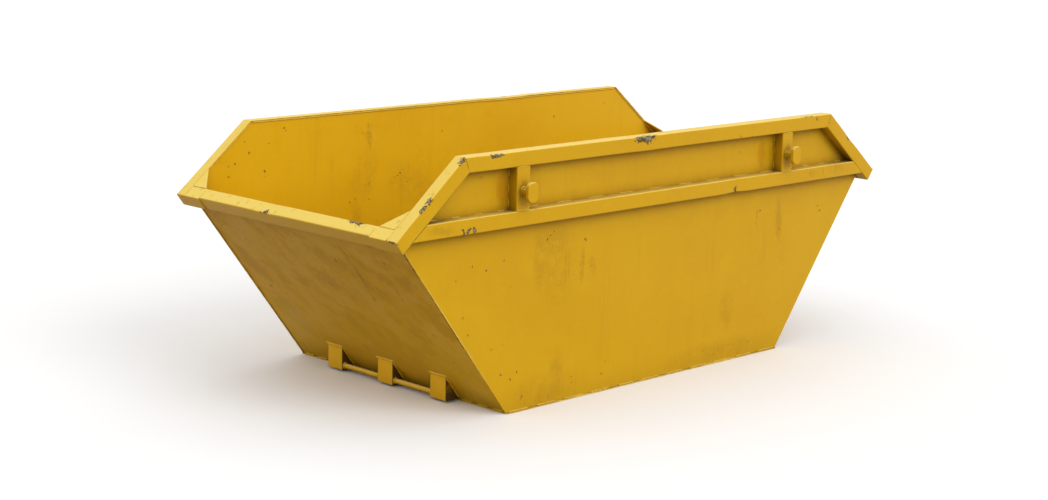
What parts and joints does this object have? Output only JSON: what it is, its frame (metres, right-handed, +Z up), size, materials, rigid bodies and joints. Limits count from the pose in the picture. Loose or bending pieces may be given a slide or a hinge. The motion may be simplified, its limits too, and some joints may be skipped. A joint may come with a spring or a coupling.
{
  "type": "builders skip",
  "caption": "Open-topped steel builders skip with raked ends, pressed channel rails, lifting lugs and a tipping bar at each foot, in worn yellow paint.",
  "frame": {"origin": "on the ground under the middle of the floor", "axes": "+X along the length towards the right end as seen from the front side, +Y from the front side to the back side, +Z up"},
  "size_m": [3.3372, 1.704, 1.2],
  "materials": {
    "painted_plate": "worn golden yellow enamel on steel plate",
    "painted_rail": "worn golden yellow enamel on pressed and folded steel",
    "painted_lug": "worn golden yellow enamel with rust at the welds",
    "painted_tipping_gear": "worn and dusty golden yellow enamel"
  },
  "bodies": {
    "root": {"floor_plate": "painted_plate", "end_plate_left": "painted_plate", "end_plate_right": "painted_plate", "side_plate_front": "painted_plate", "top_rail_front": "painted_rail", "mid_rail_front": "painted_rail", "side_plate_back": "painted_plate", "top_rail_back": "painted_rail", "mid_rail_back": "painted_rail", "rake_rail_front_left": "painted_rail", "rim_corner_front_left": "painted_rail", "corner_gusset_front_left": "painted_rail", "lug_post_front_left": "painted_lug", "lug_pin_front_left": "painted_lug", "lug_head_front_left": "painted_lug", "rake_rail_front_right": "painted_rail", "rim_corner_front_right": "painted_rail", "corner_gusset_front_right": "painted_rail", "lug_post_front_right": "painted_lug", "lug_pin_front_right": "painted_lug", "lug_head_front_right": "painted_lug", "rake_rail_back_left": "painted_rail", "rim_corner_back_left": "painted_rail", "corner_gusset_back_left": "painted_rail", "lug_post_back_left": "painted_lug", "lug_pin_back_left": "painted_lug", "lug_head_back_left": "painted_lug", "rake_rail_back_right": "painted_rail", "rim_corner_back_right": "painted_rail", "corner_gusset_back_right": "painted_rail", "lug_post_back_right": "painted_lug", "lug_pin_back_right": "painted_lug", "lug_head_back_right": "painted_lug", "end_rim_left": "painted_rail", "tipping_bar_left": "painted_tipping_gear", "tipping_bracket_left_front": "painted_tipping_gear", "tipping_bracket_left_middle": "painted_tipping_gear", "tipping_bracket_left_back": "painted_tipping_gear", "end_rim_right": "painted_rail", "tipping_bar_right": "painted_tipping_gear", "tipping_bracket_right_front": "painted_tipping_gear", "tipping_bracket_right_middle": "painted_tipping_gear", "tipping_bracket_right_back": "painted_tipping_gear"}
  },
  "joints": []
}
